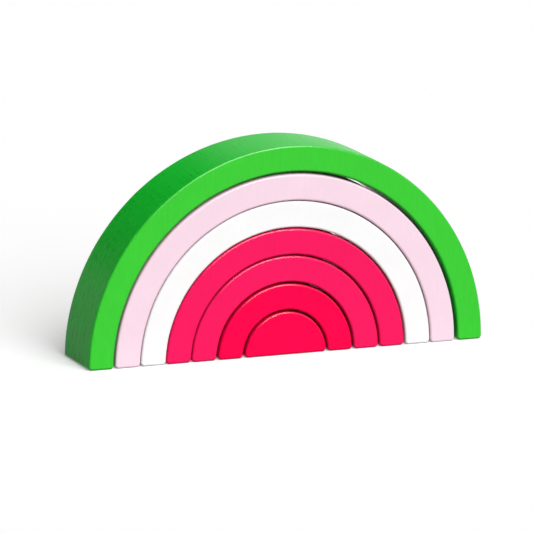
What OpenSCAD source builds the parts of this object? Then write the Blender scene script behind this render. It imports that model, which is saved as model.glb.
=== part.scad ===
// Nesting rainbow stacker: six painted wooden arches that stand one inside the next, over a solid half-round
// core. All seven pieces are sawn from one board, so they share its depth and stand flush on the same floor.
// The origin is on the floor, under the middle of the outermost arch: X across, Y from front to back, Z up.

/* [Nest] */
// Radius of the solid half-round core
core_r = 20.7; // [16:0.1:28]
// Thickness of every arch, measured along the radius
arch_t = 12.4; // [8:0.1:16]
// Gap that the saw leaves between one piece and the next
clearance = 0.8; // [0.6:0.05:1.2]
// Depth of the board, from the front face to the back face
depth = 32; // [20:1:45]

/* [Edges] */
// Radius that the edges of the front and back faces are eased to
edge_r = 1; // [0.4:0.1:1.2]
// Radius of a foot corner, seen from the front
foot_r = 1.8; // [1.4:0.1:2.4]

/* [Hidden] */
// Every piece, from the outside in
NODES = ["green_arch", "pale_pink_arch", "white_arch", "outer_rose_arch", "inner_rose_arch", "red_arch",
    "core_block"];
$fn = 96;

// What sanding makes of each gap, from the outside in, as a share of the clearance
gap_shares = [1.6, 0.6, 0.75, 0.75, 1.2, 1.2];
// How far the piece inside each gap stands to one side, as a share of that gap
seat_shares = [-0.28, -0.17, -0.55, -0.4, 0, 0.1];
// How far a rounded foot form stands outside the piece that it trims, so that the two cross at a clear angle
lap = 0.05;
// What a trimming shape reaches past the piece
overrun = 1;

half_turn = 180;
quarter_turn = 90;
core_place = len(NODES) - 1;

// The gap inside an arch, for the arch's place counted from the outside in
function gap(place) = gap_shares[place] * clearance;

// A piece's outer radius and an arch's inner one: the nest is built up from the core
function outer_r(place) = place == core_place ? core_r : inner_r(place) + arch_t;
function inner_r(place) = outer_r(place + 1) + gap(place);

// Where the middle of a piece stands along X, counted from the piece around it
function seat_x(place) = place == 0 ? 0 : seat_x(place - 1) + seat_shares[place - 1] * gap(place - 1);

// What easing takes off the two corners of a section that ends at x = 0
module eased_off(board) {
    for (side = [0, 1])
        mirror([0, side])
            translate([-edge_r, board / 2 - edge_r])
                difference() {
                    square(edge_r + overrun);
                    circle(r = edge_r);
                }
}

// A section through a board, from near to far, with its far end eased
module section(near, far, board) {
    difference() {
        translate([near, -board / 2])
            square([far - near, board]);
        translate([far, 0])
            eased_off(board);
    }
}

// The section of an arch, with both ends eased
module arch_section(inner) {
    difference() {
        section(inner, inner + arch_t, depth);
        translate([inner, 0])
            mirror([1, 0])
                eased_off(depth);
    }
}

// A section turned about an axis that runs from front to back
module turned(start, angle) {
    rotate([quarter_turn, 0, 0])
        rotate_extrude(start = start, angle = angle)
            children();
}

// The form that a foot is sanded to, below the height of its corners: a straight sole with eased edges,
// which turns up into a rounded corner at each end
module foot_form(from, to) {
    board = depth + 2 * lap;
    sole = to - from - 2 * foot_r;
    translate([from + foot_r, 0, 0]) {
        turned(half_turn, quarter_turn)
            section(0, foot_r, board);
        rotate([0, quarter_turn, 0])
            linear_extrude(sole)
                section(0, foot_r, board);
        translate([sole, 0, 0])
            turned(-quarter_turn, quarter_turn)
                section(0, foot_r, board);
    }
}

// Trims a piece of the given radius to its feet, and leaves what is above them as it is
module stood_on_feet(r) {
    reach = r + overrun;
    intersection() {
        children(0);
        translate([0, 0, foot_r - lap]) {
            children(1);
            translate([-reach, -depth / 2 - overrun, 0])
                cube([2 * reach, depth + 2 * overrun, reach]);
        }
    }
}

// An arch: half a ring on two feet. The inner arc bows in a little over the height of a foot.
module arch(place) {
    inner = inner_r(place);
    outer = outer_r(place);
    bow = inner - sqrt(inner * inner - foot_r * foot_r);
    translate([seat_x(place), 0, 0])
        stood_on_feet(outer) {
            turned(0, half_turn)
                arch_section(inner);
            for (side = [0, 1])
                mirror([side, 0, 0])
                    foot_form(inner - bow - lap, outer + lap);
        }
}

module green_arch() {
    color("#45d23e")
        arch(0);
}

module pale_pink_arch() {
    color("#fcd9e8")
        arch(1);
}

module white_arch() {
    color("white")
        arch(2);
}

module outer_rose_arch() {
    color("#fb145d")
        arch(3);
}

module inner_rose_arch() {
    color("#fb145d")
        arch(4);
}

module red_arch() {
    color("#fa044b")
        arch(5);
}

// The core: half a disc on one long foot
module core_block() {
    color("#fa044b")
        translate([seat_x(core_place), 0, 0])
            stood_on_feet(core_r) {
                turned(0, half_turn)
                    section(0, core_r, depth);
                foot_form(-core_r - lap, core_r + lap);
            }
}

green_arch();
pale_pink_arch();
white_arch();
outer_rose_arch();
inner_rose_arch();
red_arch();
core_block();
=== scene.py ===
import math

import bpy
import numpy as np
from mathutils import Matrix, Vector


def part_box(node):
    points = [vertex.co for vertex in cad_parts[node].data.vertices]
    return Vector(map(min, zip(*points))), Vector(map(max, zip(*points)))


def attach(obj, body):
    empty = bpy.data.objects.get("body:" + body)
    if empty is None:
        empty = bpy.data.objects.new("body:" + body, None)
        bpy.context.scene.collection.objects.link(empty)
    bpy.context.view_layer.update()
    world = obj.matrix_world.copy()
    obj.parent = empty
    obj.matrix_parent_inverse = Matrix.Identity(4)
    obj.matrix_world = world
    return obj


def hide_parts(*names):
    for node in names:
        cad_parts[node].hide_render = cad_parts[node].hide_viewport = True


# The looks of a nesting rainbow stacker: six painted wooden arches and a half-round core, sawn from one
# board. Every piece is built again as a smooth surface with sanded edges, in the place of its solid.
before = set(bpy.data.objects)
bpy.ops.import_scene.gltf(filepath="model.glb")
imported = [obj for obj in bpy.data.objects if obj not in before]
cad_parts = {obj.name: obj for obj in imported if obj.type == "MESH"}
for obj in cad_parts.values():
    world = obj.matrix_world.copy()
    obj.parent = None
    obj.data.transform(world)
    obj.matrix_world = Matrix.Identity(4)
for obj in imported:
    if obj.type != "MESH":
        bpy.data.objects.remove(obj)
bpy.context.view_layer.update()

# The pieces from the outside in, each with its paint
PAINT_OF_PIECE = {
    "green_arch": "green_paint",
    "pale_pink_arch": "pale_pink_paint",
    "white_arch": "white_paint",
    "outer_rose_arch": "rose_paint",
    "inner_rose_arch": "rose_paint",
    "red_arch": "red_paint",
    "core_block": "red_paint",
}

# Sizes of the sawn and sanded board, in metres. The gaps, and how far each outer wall swells halfway through
# the board, are counted from the outside in.
SAW_GAPS = (0.00128, 0.00048, 0.0006, 0.0006, 0.00096, 0.00096)
WALL_SWELLS = (0.0001, 0.0005, 0.0001, 0.00002, 0.00025, 0.0004, 0.0003)
EDGE_R = 0.001
FOOT_R = 0.0018

# How far the radius of a hand-sanded edge wanders, as shares of that radius, with the waves along one round
SANDING_WAVES = {7: 0.07, 17: 0.05, 41: 0.04}

# Steps of the surfaces
ARC_STEPS = 180
CORNER_STEPS = 8
FACE_STEPS = 10
EDGE_STEPS = 6
WALL_STEPS = 12

# What a piece's surface is marked with for its paint, and the share of the painted shade on an edge that
# doesn't hang on how far the edge faces down
MARKS = ("sawn", "edge", "crown", "leg")
PLAIN_PAINTED_EDGE_SHADE = 0.4

# The board's grain: fibres run up, and the growth rings lie at a small angle to the depth. Sizes in metres.
RING_TILT = math.radians(5)
RING_WIDTH = 0.0005
RING_LENGTH = 0.024
FIBRE_LENGTH = 0.03
MOTTLE_WIDTH = 0.0016
MOTTLE_LENGTH = 0.010

# The marks in every paint: their sizes in metres, and how much they change its colour
STIPPLE_SIZE = 0.0007
CLOUD_SIZE = 0.017
BREAK_SIZE = 0.0022
BREAK_LIMITS = (0.56, 0.68)
BREAK_PALENESS = 0.5
COAT_LEVEL = 0.95
CLOUD_SHARE = 0.08
FACE_GRAIN = 0.04
LEG_GRAIN_LOSS = 0.7
LEG_MOTTLE = 1.5
# Painted shade: how much darker the upright walls of the legs are made
PAINTED_LEG_SHADE = 0.15

# The satin finish: its roughness, how the marks change that, and how high they stand, in metres
SATIN_ROUGHNESS = 0.32
ROUGHNESS_BY_CLOUD = 0.10
ROUGHNESS_BY_STREAK = 0.3
ROUGHNESS_BY_STIPPLE = 0.10
SATIN_SPECULAR = 0.06
CROWN_ROUGHNESS = 0.14
CROWN_IOR = 1.7
STREAK_HEIGHT = 0.000020
STIPPLE_HEIGHT = 0.000006

# Each paint's colour on the faces, on the sawn walls, where most paints are darker as painted shade in the
# gaps, and where its coat is thin and pale, partly as wear and partly as a painted highlight on the crown,
# and how strongly the grain, the stipple with the brush marks, and the painted shade on the edges show in it
PAINTS = {
    "green_paint": {
        "colour": (0.052, 0.645, 0.042, 1),
        "wall": (0.010, 0.64, 0.036, 1),
        "thin_coat_and_highlight": (0.30, 0.80, 0.25, 1),
        "grain_share": 0.42,
        "stipple_share": 0.16,
        "edge_shade": 0.34,
    },
    "pale_pink_paint": {
        "colour": (0.98, 0.735, 0.845, 1),
        "wall": (0.94, 0.62, 0.74, 1),
        "thin_coat_and_highlight": (0.95, 0.84, 0.87, 1),
        "grain_share": 0.28,
        "stipple_share": 0.05,
        "edge_shade": 0.08,
    },
    "white_paint": {
        "colour": (0.995, 0.995, 0.995, 1),
        "wall": (0.92, 0.91, 0.91, 1),
        "thin_coat_and_highlight": (0.93, 0.92, 0.90, 1),
        "grain_share": 0.22,
        "stipple_share": 0.03,
        "edge_shade": 0.12,
    },
    "rose_paint": {
        "colour": (0.98, 0.012, 0.125, 1),
        "wall": (0.78, 0.006, 0.085, 1),
        "thin_coat_and_highlight": (0.95, 0.10, 0.20, 1),
        "grain_share": 0.40,
        "stipple_share": 0.14,
        "edge_shade": 0.28,
    },
    "red_paint": {
        "colour": (0.98, 0.001, 0.076, 1),
        "wall": (0.76, 0.001, 0.050, 1),
        "thin_coat_and_highlight": (0.95, 0.08, 0.15, 1),
        "grain_share": 0.40,
        "stipple_share": 0.08,
        "edge_shade": 0.28,
    },
}

# The camera, as the photograph has it
CAMERA_AZIMUTH = math.radians(-23.08)
CAMERA_ELEVATION = math.radians(12.91)
CAMERA_ROLL = math.radians(0.96)
CAMERA_TARGET = Vector((-0.0116, -0.016, 0.0433))
CAMERA_DISTANCE = 2.903
CAMERA_LENS = 420.4
CAMERA_SENSOR = 36.0

# The floor, which curves up into a low backdrop behind the object
FLOOR_HALF = 30.0
FLOOR_Z = -0.00003
FLOOR_COLOUR = (0.50, 0.50, 0.50, 1.0)
SEEN_FLOOR_COLOUR = (0.80, 0.80, 0.80, 1.0)
FLOOR_GLOW = 0.29
BACKDROP_Y = 4.0
BACKDROP_TOP = 0.7
BACKDROP_BEND = 0.5
BEND_STEPS = 12

# Each lamp's direction, the level at which a white card that faces it renders, and the degrees of sky that
# it fills
LAMPS = {
    "front_lamp": ((0.09, -0.77, 0.64), 0.91, 50),
    "upper_lamp": ((0.17, -0.34, 0.90), 0.30, 50),
}

# The studio beyond the floor: what it adds to the light, how bright it looks, and how bright its right half
# looks in the gloss of the paint, with where that half starts and is full along X
STUDIO_LIGHT = 0.0
STUDIO_SEEN = 1.0
STUDIO_MIRRORED = 1.0
RIGHT_HALF = (0.05, 0.3)
WHITE = (1, 1, 1, 1)


def arc(centre_x, centre_z, radius, start, stop, steps, side=1):
    """Points of an arc in the XZ plane and the direction that faces away from the wood there: the centre plus
    the radius times (cos, sin) of the angle, which runs evenly from start to stop. side is -1 where the wood
    lies outside the arc. Gives rows of x, z, facing x, facing z."""
    angle = np.linspace(start, stop, steps + 1)
    ray = np.stack([np.cos(angle), np.sin(angle)], axis=1)
    return np.hstack([np.array([centre_x, centre_z]) + radius * ray, side * ray])


def sole(start_x, stop_x, steps):
    """Points of a straight sole on the floor, evenly spaced along X and facing down, in the same rows as an
    arc."""
    x = np.linspace(start_x, stop_x, steps + 1)
    zero = np.zeros_like(x)
    return np.stack([x, zero, zero, zero - 1], axis=1)


def joined(*runs):
    """Runs of points one after the other, where each starts with the last point of the run before it."""
    return np.vstack([runs[0]] + [run[1:] for run in runs[1:]])


def corner_of_foot(radius, side):
    """Where a foot corner meets an arc that is tangent to it: the corner's centre along X and the arc's angle
    there. The corner touches the floor, so its centre lies at its own radius above it. side is 1 for the
    outer arc, whose corner lies inside, and -1 for the inner one."""
    reach = radius - side * FOOT_R
    return math.sqrt(reach**2 - FOOT_R**2), math.asin(FOOT_R / reach)


def arch_side(radius, side):
    """One side of an arch from the right foot over the top to the left foot: corner, arc and corner."""
    centre_x, lift = corner_of_foot(radius, side)
    down = -math.pi / 2
    meets = lift if side > 0 else lift - math.pi
    right = arc(centre_x, FOOT_R, FOOT_R, down, meets, CORNER_STEPS)
    over = arc(0, 0, radius, lift, math.pi - lift, ARC_STEPS, side)
    left = right[::-1] * np.array([-1, 1, -1, 1])
    return joined(right, over, left)


def arch_sides(outer_r, inner_r):
    """The four sides of an arch's front face: outer side, inner side, right sole and left sole."""
    outer = arch_side(outer_r, 1)
    inner = arch_side(inner_r, -1)
    right = sole(outer[0, 0], inner[0, 0], FACE_STEPS)
    left = sole(outer[-1, 0], inner[-1, 0], FACE_STEPS)
    return outer, inner, right, left


def core_sides(radius):
    """The four sides of the core's front face: its arc, its sole, and the foot corner at each end."""
    centre_x, lift = corner_of_foot(radius, 1)
    over = arc(0, 0, radius, lift, math.pi - lift, ARC_STEPS)
    right = arc(centre_x, FOOT_R, FOOT_R, lift, -math.pi / 2, FACE_STEPS)
    left = right * np.array([-1, 1, -1, 1])
    return over, sole(centre_x, -centre_x, ARC_STEPS), right, left


def sanded_edge(ring, phase):
    """The radius of the sanded edge at each point of a closed ring: the named radius times one plus a sum of
    sines of the share of the way round, with whole numbers of waves so that the round closes."""
    step = np.linalg.norm(np.roll(ring[:, :2], -1, axis=0) - ring[:, :2], axis=1)
    way = np.cumsum(step) / step.sum()
    waves = np.array(list(SANDING_WAVES))
    shares = np.array(list(SANDING_WAVES.values()))
    turn = 2 * math.pi * (np.outer(way, waves) + phase * waves)
    return EDGE_R * (1 + np.sin(turn) @ shares)


def wall_rows(ring, half_depth, wall_swell, phase):
    """The wall round a piece with its two sanded edges: each row is the ring drawn inwards by the radius
    times (1 - sin a) and set back from the face by the radius times (1 - cos a), as a goes from 0 at the
    face to a right angle at the wall. The wall between is straight, but for a small swell on the outer
    side: a parabola over the depth, which fades out at the foot corners. Gives points, facings and marks,
    row by row from front to back. The marks are how far a point is sawn wall, is on an edge that takes
    painted shade, most where it faces down, is on the crown, which is the edge that faces up, and is on
    the upright wall of a leg."""
    turn = np.linspace(0, math.pi / 2, EDGE_STEPS + 1)[:, None]
    facing_x, facing_z = ring[:, 2], ring[:, 3]
    upward = np.clip(facing_z, 0, 1) ** 2
    downward = np.clip(-facing_z, 0, 1) ** 2
    rows = []
    for end in (-1, 1):
        radius = sanded_edge(ring, phase + end / 5)
        inset = radius * (1 - np.sin(turn))
        x = ring[:, 0] - inset * facing_x
        z = ring[:, 1] - inset * facing_z
        y = end * (half_depth - radius * (1 - np.cos(turn)))
        facing_y = end * np.cos(turn) + 0 * x
        facing = np.stack([np.sin(turn) * facing_x, facing_y, np.sin(turn) * facing_z], axis=2)
        sawn = np.sin(turn) ** 4 + 0 * x
        # Painted shade on the sanded edges, most where they face down into the gaps and under the arches
        edge = np.sin(2 * turn) * (PLAIN_PAINTED_EDGE_SHADE + downward)
        crown = np.sin(2 * turn) ** 2 * upward
        leg = sawn * facing_x**2
        marks = np.stack([sawn, edge, crown, leg], axis=2)
        rows.append((np.stack([x, y, z], axis=2), facing, marks))
    (front, front_facing, front_marks), (back, back_facing, back_marks) = rows
    share = np.linspace(0, 1, WALL_STEPS + 1)[1:-1, None, None]
    outer = (ring[:, :2] * ring[:, 2:]).sum(axis=1) > 0
    above_foot = outer * np.clip(1 + 2 * facing_z, 0, 1)
    swell = np.stack([above_foot * facing_x, 0 * above_foot, above_foot * facing_z], axis=1)
    wall = (1 - share) * front[-1] + share * back[-1] + 4 * wall_swell * share * (1 - share) * swell
    wall_facing = np.repeat(front_facing[-1:], len(wall), axis=0)
    wall_marks = np.repeat(front_marks[-1:], len(wall), axis=0)
    points = np.concatenate([front, wall, back[::-1]])
    facings = np.concatenate([front_facing, wall_facing, back_facing[::-1]])
    return points, facings, np.concatenate([front_marks, wall_marks, back_marks[::-1]])


def face_points(outer, inner, right, left):
    """A flat face spread between its four sides: a point is what the outer and inner sides give across the
    face, plus what the two ends give along it, less what the four corners give both ways."""
    u = np.linspace(0, 1, len(outer))[:, None, None]
    v = np.linspace(0, 1, len(right))[None, :, None]
    across = (1 - v) * outer[:, None] + v * inner[:, None]
    along = (1 - u) * right[None] + u * left[None]
    corners = (1 - u) * ((1 - v) * outer[0] + v * inner[0]) + u * ((1 - v) * outer[-1] + v * inner[-1])
    return across + along - corners


def quads(index):
    """Faces between neighbours in a grid of vertex numbers."""
    corners = [index[:-1, :-1], index[1:, :-1], index[1:, 1:], index[:-1, 1:]]
    return np.stack(corners, axis=2).reshape(-1, 4)


def sawn_piece(name, sides, centre_x, half_depth, wall_swell, phase):
    """A mesh of one sawn piece: its wall round a closed ring of its four sides, and its two flat faces."""
    outer, inner, right, left = sides
    ring = np.vstack([outer, left[1:-1], inner[::-1], right[::-1][1:-1]])
    points, facings, marks = wall_rows(ring, half_depth, wall_swell, phase)
    rows, around = points.shape[:2]
    number = np.arange(rows * around).reshape(rows, around)
    closed = np.hstack([number, number[:, :1]])
    all_faces = [quads(closed)]
    all_points = [points.reshape(-1, 3)]
    all_facings = [facings.reshape(-1, 3)]
    count = rows * around
    long_side, short_side = len(outer), len(right) - 2
    starts = np.cumsum([0, long_side, short_side, long_side, short_side])
    for row, end in ((0, -1), (-1, 1)):
        on_ring = [number[row, starts[i]:starts[i + 1]] for i in range(4)]
        index = np.zeros((long_side, short_side + 2), int)
        index[:, 0] = on_ring[0]
        index[-1, 1:-1] = on_ring[1]
        index[:, -1] = on_ring[2][::-1]
        index[0, 1:-1] = on_ring[3][::-1]
        inside = (long_side - 2, short_side)
        new = np.arange(inside[0] * inside[1]).reshape(inside)
        index[1:-1, 1:-1] = count + new
        rim = points[row]
        border = [rim[i - number[row, 0]] for i in (index[:, 0], index[:, -1], index[0], index[-1])]
        flat = face_points(*border)[1:-1, 1:-1].reshape(-1, 3)
        all_points.append(flat)
        all_facings.append(np.tile([0.0, end, 0.0], (len(flat), 1)))
        all_faces.append(quads(index) if end < 0 else quads(index)[:, ::-1])
        count += len(flat)
    verts = np.vstack(all_points) + np.array([centre_x, 0, 0])
    mesh = bpy.data.meshes.new(name)
    mesh.from_pydata(verts, [], np.vstack(all_faces))
    mesh.shade_smooth()
    mesh.normals_split_custom_set_from_vertices(np.vstack(all_facings))
    for column, mark in enumerate(MARKS):
        on_points = np.zeros(len(verts), np.float32)
        on_points[:rows * around] = marks[:, :, column].ravel()
        mesh.attributes.new(mark, "FLOAT", "POINT").data.foreach_set("value", on_points)
    piece = bpy.data.objects.new(name, mesh)
    bpy.context.scene.collection.objects.link(piece)
    return piece


class Signal:
    """A socket in a node tree. Arithmetic on it adds Math nodes, and node() adds any other node."""

    def __init__(self, tree, socket=None):
        self.tree = tree
        self.socket = socket

    def node(self, kind, settings=None, sockets=None, out=0):
        """Adds a node: its settings are set first, then the values or links of its sockets."""
        made = self.tree.nodes.new(kind)
        for name, value in (settings or {}).items():
            setattr(made, name, value)
        for name, value in (sockets or {}).items():
            if isinstance(value, Signal):
                self.tree.links.new(value.socket, made.inputs[name])
            else:
                made.inputs[name].default_value = value
        return Signal(self.tree, made.outputs[out] if len(made.outputs) else None)

    def math(self, operation, first, second):
        return self.node("ShaderNodeMath", {"operation": operation}, {0: first, 1: second})

    def __add__(self, other):
        return self.math("ADD", self, other)

    def __sub__(self, other):
        return self.math("SUBTRACT", self, other)

    def __mul__(self, other):
        return self.math("MULTIPLY", self, other)

    def __rsub__(self, other):
        return self.math("SUBTRACT", other, self)

    __radd__ = __add__
    __rmul__ = __mul__

    def between(self, low, high):
        """0 below low, 1 above high and a smooth step between."""
        limits = {"Value": self, "From Min": low, "From Max": high}
        return self.node("ShaderNodeMapRange", {"interpolation_type": "SMOOTHSTEP"}, limits)

    def blended(self, low, high):
        """The colour low where this is 0 and high where it is 1."""
        return self.node("ShaderNodeMix", {"data_type": "RGBA"}, {0: self, 6: low, 7: high}, 2)


def noise(place, size, detail=2.0, roughness=0.5):
    """Soft noise about 0.5, with spots of the given size where place is in metres."""
    sockets = {"Vector": place, "Scale": 1 / size, "Detail": detail, "Roughness": roughness}
    return place.node("ShaderNodeTexNoise", None, sockets)


def stretched_noise(place, sizes, detail, roughness):
    """Soft noise about 0.5, with spots of the given sizes along X, Y and Z."""
    scale = tuple(1 / size for size in sizes)
    scaled = place.node("ShaderNodeMapping", None, {"Vector": place, "Scale": scale})
    return noise(scaled, 1.0, detail, roughness)


def new_tree(owner):
    """The owner's node tree, emptied."""
    owner.use_nodes = True
    owner.node_tree.nodes.clear()
    return Signal(owner.node_tree)


def painted_wood(name, colour, wall, thin_coat_and_highlight, grain_share, stipple_share, edge_shade):
    """Satin paint on wood: slow clouds of thicker and thinner coat, brush marks and a fine stipple
    everywhere, the grain as streaks on the sawn walls, a stronger mottle on the legs, painted shade on
    the edges, most where they face down, and on the upright walls of the legs, a darker colour on the sawn
    walls as painted shade in the gaps, and a polished crown with small breaks in its coat, where the paint
    turns paler, partly as wear and partly as a painted highlight."""
    material = bpy.data.materials.new(name)
    start = new_tree(material)
    place = start.node("ShaderNodeTexCoord", out=3)
    turned = start.node("ShaderNodeMapping", None, {"Vector": place, "Rotation": (0, 0, RING_TILT)})
    grain = stretched_noise(turned, (RING_WIDTH, RING_LENGTH, FIBRE_LENGTH), 4.0, 0.62)
    mottle = stretched_noise(place, (MOTTLE_WIDTH, MOTTLE_WIDTH, MOTTLE_LENGTH), 3.0, 0.6)
    stipple = noise(place, STIPPLE_SIZE, 2.0, 0.6)
    cloud = noise(place, CLOUD_SIZE, 3.0, 0.5)
    breaks = noise(place, BREAK_SIZE, 3.0, 0.6).between(*BREAK_LIMITS)
    read_marks = [start.node("ShaderNodeAttribute", {"attribute_name": mark}, out=2) for mark in MARKS]
    sawn, edge, crown, leg = read_marks

    bare = FACE_GRAIN + (1 - FACE_GRAIN) * sawn - LEG_GRAIN_LOSS * leg
    streak = bare * (grain - 0.5) + LEG_MOTTLE * leg * (mottle - 0.5)
    level = COAT_LEVEL + CLOUD_SHARE * (cloud - 0.5) + grain_share * streak
    # Painted shade: darker on the sanded edges, most where they face down, and on the legs' upright walls
    level = level + stipple_share * (stipple + mottle - 1) - edge_shade * edge - PAINTED_LEG_SHADE * leg
    # Painted shade: most paints take a darker colour on the sawn walls, so that the gaps look dark
    coat = sawn.blended(colour, wall)
    coat = coat.node("ShaderNodeVectorMath", {"operation": "SCALE"}, {"Vector": coat, "Scale": level})
    # Partly wear and partly painted highlight: the paint turns paler where the crown's polish breaks
    coat = (crown * breaks * BREAK_PALENESS).blended(coat, thin_coat_and_highlight)
    shine = SATIN_ROUGHNESS + ROUGHNESS_BY_CLOUD * (cloud - 0.5) + ROUGHNESS_BY_STREAK * streak
    shine = shine + ROUGHNESS_BY_STIPPLE * (stipple - 0.5)
    height = STREAK_HEIGHT * streak + STIPPLE_HEIGHT * stipple
    bump = start.node("ShaderNodeBump", None, {"Height": height, "Distance": 1.0, "Strength": 1.0})
    sockets = {"Base Color": coat, "Roughness": shine, "Normal": bump, "Specular IOR Level": SATIN_SPECULAR}
    sockets |= {"Coat Weight": crown * (1 - breaks), "Coat Roughness": CROWN_ROUGHNESS, "Coat IOR": CROWN_IOR}
    paint = start.node("ShaderNodeBsdfPrincipled", None, sockets)
    start.node("ShaderNodeOutputMaterial", None, {"Surface": paint})
    return material


def looking_rays(start):
    """What the camera sees, as 1 for rays of that kind: directly, in a gloss, and through glass."""
    kinds = ("Is Camera Ray", "Is Glossy Ray", "Is Transmission Ray")
    return [start.node("ShaderNodeLightPath", out=kind) for kind in kinds]


def floor_material():
    """A white floor: lit as pale board, with a glow in what the camera and mirrors see, so that it looks
    white and keeps the shadow."""
    material = bpy.data.materials.new("pale_floor")
    start = new_tree(material)
    board = start.node("ShaderNodeBsdfDiffuse", None, {"Color": FLOOR_COLOUR})
    seen_board = start.node("ShaderNodeBsdfDiffuse", None, {"Color": SEEN_FLOOR_COLOUR})
    glow = start.node("ShaderNodeEmission", None, {"Color": WHITE, "Strength": FLOOR_GLOW})
    glowing = start.node("ShaderNodeAddShader", None, {0: seen_board, 1: glow})
    direct, mirrored, through = looking_rays(start)
    seen = direct + mirrored + through
    surface = start.node("ShaderNodeMixShader", None, {0: seen, 1: board, 2: glowing})
    start.node("ShaderNodeOutputMaterial", None, {"Surface": surface})
    return material


def lay_floor():
    """The floor and its backdrop: a profile of a flat, a quarter circle and an upright, carried along X."""
    turn = np.linspace(-math.pi / 2, 0, BEND_STEPS + 1)
    bend_y = BACKDROP_Y - BACKDROP_BEND + BACKDROP_BEND * np.cos(turn)
    bend_z = FLOOR_Z + BACKDROP_BEND + BACKDROP_BEND * np.sin(turn)
    y = np.concatenate([[-FLOOR_HALF], bend_y, [BACKDROP_Y]])
    z = np.concatenate([[FLOOR_Z], bend_z, [BACKDROP_TOP]])
    profile = np.stack([0 * y, y, z], axis=1)
    ends = np.array([[-FLOOR_HALF, 0, 0], [FLOOR_HALF, 0, 0]])
    points = (ends[:, None] + profile[None]).reshape(-1, 3)
    mesh = bpy.data.meshes.new("floor")
    mesh.from_pydata(points, [], quads(np.arange(len(points)).reshape(2, -1)))
    mesh.shade_smooth()
    mesh.materials.append(floor_material())
    floor = bpy.data.objects.new("floor", mesh)
    bpy.context.scene.collection.objects.link(floor)


def soft_lamp(name, towards, level, spread):
    """A far lamp that fills spread degrees of the sky in the direction towards. A white card that faces it
    renders at the given level."""
    lamp = bpy.data.lights.new(name, "SUN")
    lamp.energy = level * math.pi
    lamp.angle = math.radians(spread)
    holder = bpy.data.objects.new(name, lamp)
    holder.rotation_mode = "QUATERNION"
    holder.rotation_quaternion = Vector(towards).to_track_quat("Z", "Y")
    bpy.context.scene.collection.objects.link(holder)


def set_camera():
    """The camera, turned by its azimuth, elevation and roll and set back from its target."""
    a, e, roll = CAMERA_AZIMUTH, CAMERA_ELEVATION, CAMERA_ROLL
    right = Vector((math.cos(a), math.sin(a), 0))
    up = Vector((-math.sin(a) * math.sin(e), math.cos(a) * math.sin(e), math.cos(e)))
    back = Vector((math.sin(a) * math.cos(e), -math.cos(a) * math.cos(e), math.sin(e)))
    rolled_right = math.cos(roll) * right + math.sin(roll) * up
    rolled_up = math.cos(roll) * up - math.sin(roll) * right
    data = bpy.data.cameras.new("camera")
    data.lens = CAMERA_LENS
    data.sensor_width = CAMERA_SENSOR
    camera = bpy.data.objects.new("camera", data)
    turn = Matrix((rolled_right, rolled_up, back)).transposed().to_4x4()
    camera.matrix_world = Matrix.Translation(CAMERA_TARGET + CAMERA_DISTANCE * back) @ turn
    bpy.context.scene.collection.objects.link(camera)
    bpy.context.scene.camera = camera


def set_world():
    """A plain white studio all round, which the gloss of the paint sees only on the right."""
    world = bpy.data.worlds.new("studio")
    start = new_tree(world)
    towards = start.node("ShaderNodeTexCoord", out="Generated")
    right = start.node("ShaderNodeSeparateXYZ", None, {0: towards}).between(*RIGHT_HALF)
    direct, mirrored, through = looking_rays(start)
    seen = (STUDIO_SEEN - STUDIO_LIGHT) * (direct + through)
    strength = STUDIO_LIGHT + seen + (STUDIO_MIRRORED - STUDIO_LIGHT) * mirrored * right
    sky = start.node("ShaderNodeBackground", None, {"Color": WHITE, "Strength": strength})
    start.node("ShaderNodeOutputWorld", None, {"Surface": sky})
    bpy.context.scene.world = world


def make_pieces():
    """Every piece in the place of its solid, sized from the solids' boxes and the gaps."""
    finishes = {name: painted_wood(name, **paint) for name, paint in PAINTS.items()}
    names = list(PAINT_OF_PIECE)
    boxes = [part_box(name) for name in names]
    half_depth = (boxes[0][1].y - boxes[0][0].y) / 2
    centres = [(low.x + high.x) / 2 for low, high in boxes]
    radii = [(high.x - low.x) / 2 for low, high in boxes]
    for place, name in enumerate(names):
        if name == "core_block":
            sides = core_sides(radii[place])
        else:
            sides = arch_sides(radii[place], radii[place + 1] + SAW_GAPS[place])
        phase = place / len(names)
        piece = sawn_piece("painted_" + name, sides, centres[place], half_depth, WALL_SWELLS[place], phase)
        piece.data.materials.append(finishes[PAINT_OF_PIECE[name]])
        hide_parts(name)
        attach(piece, name)


make_pieces()
lay_floor()
for lamp_name, lamp_values in LAMPS.items():
    soft_lamp(lamp_name, *lamp_values)
set_world()
set_camera()
bpy.context.scene.view_settings.view_transform = "Standard"
